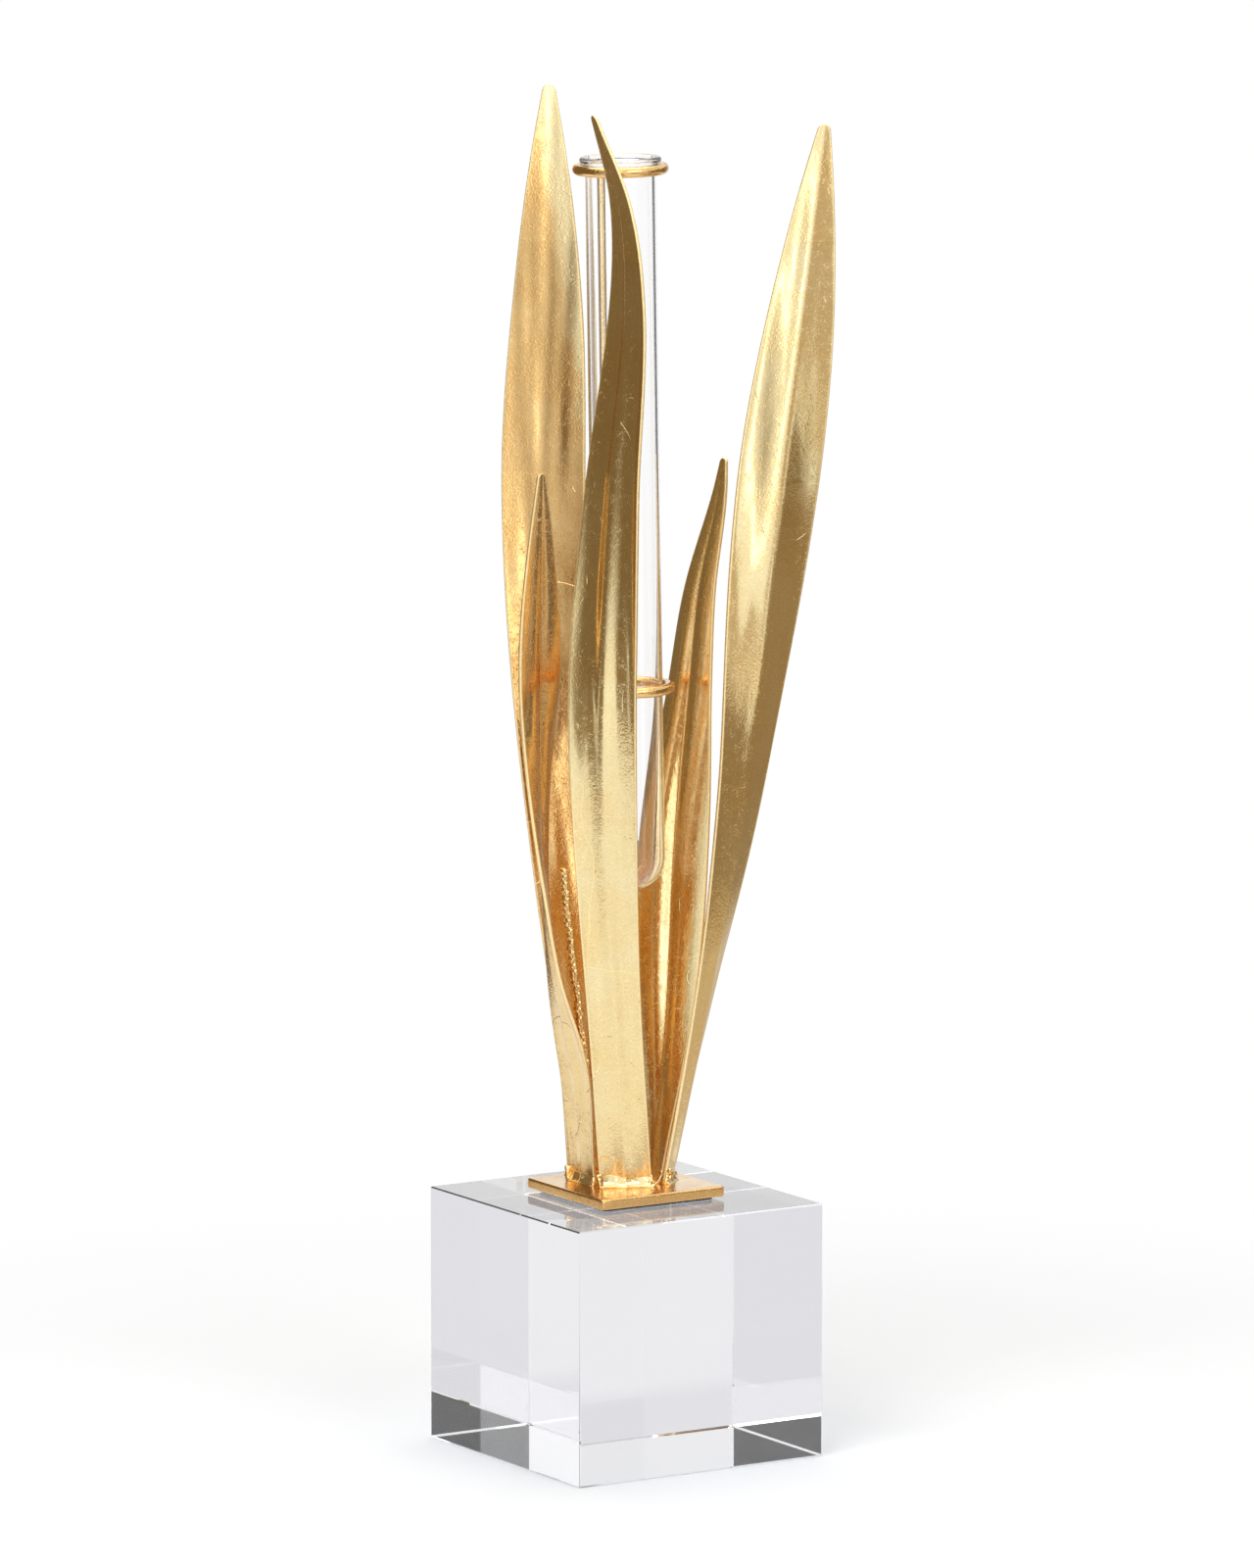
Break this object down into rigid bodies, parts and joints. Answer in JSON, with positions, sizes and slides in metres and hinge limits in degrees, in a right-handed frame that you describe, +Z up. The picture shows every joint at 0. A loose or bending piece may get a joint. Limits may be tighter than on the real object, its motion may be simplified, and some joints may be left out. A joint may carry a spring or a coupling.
{
  "type": "bud vase",
  "caption": "Bud vase: fluted gilded metal leaves on a square plate and clear bevelled block, round a lipped glass tube that hangs in wire rings and lifts out.",
  "frame": {"origin": "middle of the block's underside", "axes": "+Z up; +X and +Y along the block's sides. The front of the bunch looks 32 degrees from -Y towards -X."},
  "size_m": [0.1156, 0.1, 0.4777],
  "materials": {
    "gilding": "gold leaf over iron sheet, satin, speckled",
    "crystal": "polished clear block",
    "clear_bond": "clear bonding pad",
    "tube_glass": "clear drawn glass, fire-polished lip"
  },
  "bodies": {
    "stand": {"crystal_block": "crystal", "bonding_pad": "clear_bond", "base_plate": "gilding", "front_leaf": "gilding", "left_tall_leaf": "gilding", "right_tall_leaf": "gilding", "left_short_leaf": "gilding", "right_short_leaf": "gilding", "front_leaf_weld": "gilding", "left_tall_leaf_weld": "gilding", "right_tall_leaf_weld": "gilding", "left_short_leaf_weld": "gilding", "right_short_leaf_weld": "gilding", "leaf_rib": "gilding", "stem": "gilding", "stem_weld": "gilding", "upper_ring": "gilding", "lower_ring": "gilding", "upper_ring_weld": "gilding", "lower_ring_weld": "gilding"},
    "tube": {"glass_tube": "tube_glass"}
  },
  "joints": [
    {"name": "tube_lift", "type": "slide", "parent": "stand", "child": "tube", "axis": [-0.0114, 0.0071, 0.9999], "range_m": [0, 0.265]}
  ]
}
